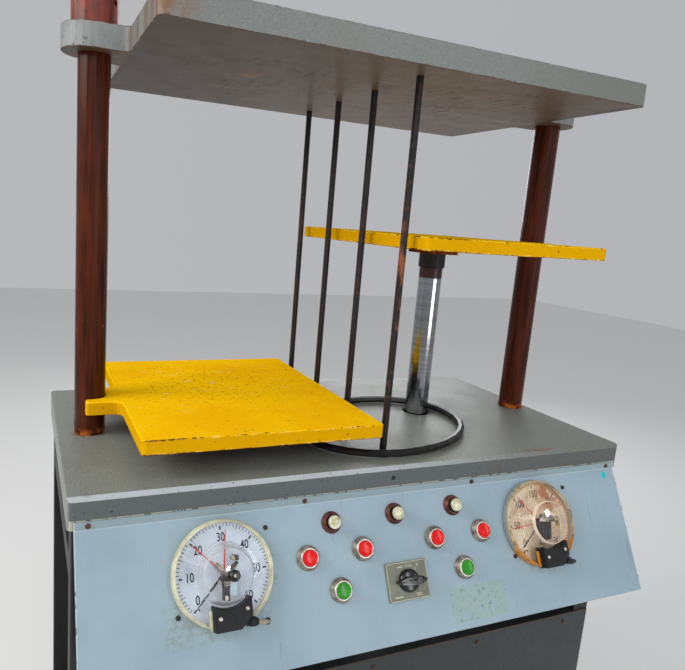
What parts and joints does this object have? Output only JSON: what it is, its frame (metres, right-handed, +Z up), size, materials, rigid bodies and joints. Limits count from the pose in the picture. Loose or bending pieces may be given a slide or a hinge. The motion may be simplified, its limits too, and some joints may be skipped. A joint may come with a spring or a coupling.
{
  "type": "hydraulic press",
  "caption": "Twin station upstroke hydraulic press: yellow platens on rams, thick crosshead on columns, guard rods and a slanted control panel with gauges, lamps and push buttons.",
  "frame": {"origin": "on the floor, under the middle of the whole press with its ears and control panel", "axes": "+Z up, +X to the operator's right, -Y towards the operator"},
  "size_m": [1.1044, 0.6902, 1.6193],
  "materials": {
    "table_paint": "grey green machine paint, satin, worn",
    "head_paint": "grey machine paint, satin",
    "column_paint": "dark red brown gloss paint",
    "nut_red": "red brown primer",
    "rod_steel": "dark oxidised steel",
    "yellow_paint": "yellow gloss paint, scuffed",
    "ram_chrome": "hard chromed bar",
    "black_collar": "black ring",
    "cylinder_paint": "grey paint",
    "ring_rubber": "black rubber",
    "frame_paint": "dark grey green paint",
    "skin_paint": "dark grey sheet",
    "lower_paint": "dark blue grey sheet",
    "panel_paint": "pale blue paint, scratched",
    "gauge_case": "cream rim, white dial, black terminal box",
    "gauge_glass": "clear window",
    "cable_sheath": "beige sheath",
    "lamp_lens": "cream lens in a brown bezel",
    "bezel_metal": "aged metal bezel",
    "cap_red": "red cap",
    "cap_green": "green cap",
    "switch_plate": "grey green plate",
    "knob_black": "black knob",
    "hand_black": "black hand",
    "hand_red": "red hand",
    "tank_paint": "grey green paint",
    "motor_paint": "blue grey paint",
    "bell_metal": "cast housing",
    "pipe_steel": "plated steel pipe"
  },
  "bodies": {
    "frame": {"button_bezel_1": "bezel_metal", "button_bezel_2": "bezel_metal", "button_bezel_3": "bezel_metal", "button_bezel_4": "bezel_metal", "button_bezel_5": "bezel_metal", "button_bezel_6": "bezel_metal", "cabinet_frame": "frame_paint", "cabinet_skin": "skin_paint", "column_left": "column_paint", "column_nut_left": "nut_red", "column_nut_right": "nut_red", "column_right": "column_paint", "control_panel": "panel_paint", "crosshead": "head_paint", "cylinder_left": "cylinder_paint", "cylinder_right": "cylinder_paint", "foot_nut_left": "nut_red", "foot_nut_right": "nut_red", "gauge_cable_left": "cable_sheath", "gauge_cable_right": "cable_sheath", "gauge_case_left": "gauge_case", "gauge_case_right": "gauge_case", "gauge_window_left": "gauge_glass", "gauge_window_right": "gauge_glass", "guard_rod_1": "rod_steel", "guard_rod_2": "rod_steel", "guard_rod_3": "rod_steel", "guard_rod_4": "rod_steel", "lamp_1": "lamp_lens", "lamp_2": "lamp_lens", "lamp_3": "lamp_lens", "loose_ring": "ring_rubber", "lower_front_panel": "lower_paint", "motor": "motor_paint", "oil_tank": "tank_paint", "pressure_pipe_left": "pipe_steel", "pressure_pipe_right": "pipe_steel", "pump_bell": "bell_metal", "switch_plate": "switch_plate", "table_top": "table_paint"},
    "left_press": {"platen_left": "yellow_paint", "ram_left": "ram_chrome", "ram_collar_left": "black_collar"},
    "right_press": {"platen_right": "yellow_paint", "ram_right": "ram_chrome", "ram_collar_right": "black_collar"},
    "cap_1": {"button_cap_1": "cap_red"},
    "cap_2": {"button_cap_2": "cap_red"},
    "cap_3": {"button_cap_3": "cap_red"},
    "cap_4": {"button_cap_4": "cap_red"},
    "cap_5": {"button_cap_5": "cap_green"},
    "cap_6": {"button_cap_6": "cap_green"},
    "selector": {"switch_knob": "knob_black"},
    "pointer_left_body": {"pointer_left": "hand_black"},
    "limit_low_left_body": {"limit_low_left": "hand_red"},
    "limit_high_left_body": {"limit_high_left": "hand_red"},
    "pointer_right_body": {"pointer_right": "hand_black"},
    "limit_low_right_body": {"limit_low_right": "hand_red"},
    "limit_high_right_body": {"limit_high_right": "hand_red"}
  },
  "joints": [
    {"name": "left_platen_lift", "type": "slide", "parent": "frame", "child": "left_press", "axis": [0, 0, 1], "range_m": [0, 0.5]},
    {"name": "right_platen_lift", "type": "slide", "parent": "frame", "child": "right_press", "axis": [0, 0, 1], "range_m": [-0.33, 0.17]},
    {"name": "button_1_press", "type": "slide", "parent": "frame", "child": "cap_1", "axis": [0, 0.887, -0.4617], "range_m": [0, 0.004], "stiffness_N_per_m": 400},
    {"name": "button_2_press", "type": "slide", "parent": "frame", "child": "cap_2", "axis": [0, 0.887, -0.4617], "range_m": [0, 0.004], "stiffness_N_per_m": 400},
    {"name": "button_3_press", "type": "slide", "parent": "frame", "child": "cap_3", "axis": [0, 0.887, -0.4617], "range_m": [0, 0.004], "stiffness_N_per_m": 400},
    {"name": "button_4_press", "type": "slide", "parent": "frame", "child": "cap_4", "axis": [0, 0.887, -0.4617], "range_m": [0, 0.004], "stiffness_N_per_m": 400},
    {"name": "button_5_press", "type": "slide", "parent": "frame", "child": "cap_5", "axis": [0, 0.887, -0.4617], "range_m": [0, 0.004], "stiffness_N_per_m": 400},
    {"name": "button_6_press", "type": "slide", "parent": "frame", "child": "cap_6", "axis": [0, 0.887, -0.4617], "range_m": [0, 0.004], "stiffness_N_per_m": 400},
    {"name": "selector_turn", "type": "hinge", "parent": "frame", "child": "selector", "pos_m": [-0.0077, -0.30565, 0.67558], "axis": [0, -0.887, 0.4617], "range_deg": [0, 90]},
    {"name": "pointer_left_turn", "type": "hinge", "parent": "frame", "child": "pointer_left_body", "pos_m": [-0.3287, -0.27998, 0.72704], "axis": [0, -0.887, 0.4617], "range_deg": [-270, 0], "stiffness_Nm_per_rad": 0.002},
    {"name": "limit_low_left_turn", "type": "hinge", "parent": "frame", "child": "limit_low_left_body", "pos_m": [-0.3287, -0.27998, 0.72704], "axis": [0, -0.887, 0.4617], "range_deg": [-180.09, 89.91]},
    {"name": "limit_high_left_turn", "type": "hinge", "parent": "frame", "child": "limit_high_left_body", "pos_m": [-0.3287, -0.27998, 0.72704], "axis": [0, -0.887, 0.4617], "range_deg": [-128.25, 141.75]},
    {"name": "pointer_right_turn", "type": "hinge", "parent": "frame", "child": "pointer_right_body", "pos_m": [0.2958, -0.27906, 0.72882], "axis": [0, -0.887, 0.4617], "range_deg": [-264.6, 5.4], "stiffness_Nm_per_rad": 0.002},
    {"name": "limit_low_right_turn", "type": "hinge", "parent": "frame", "child": "limit_low_right_body", "pos_m": [0.2958, -0.27906, 0.72882], "axis": [0, -0.887, 0.4617], "range_deg": [-228.15, 41.85]},
    {"name": "limit_high_right_turn", "type": "hinge", "parent": "frame", "child": "limit_high_right_body", "pos_m": [0.2958, -0.27906, 0.72882], "axis": [0, -0.887, 0.4617], "range_deg": [-174.15, 95.85]}
  ]
}
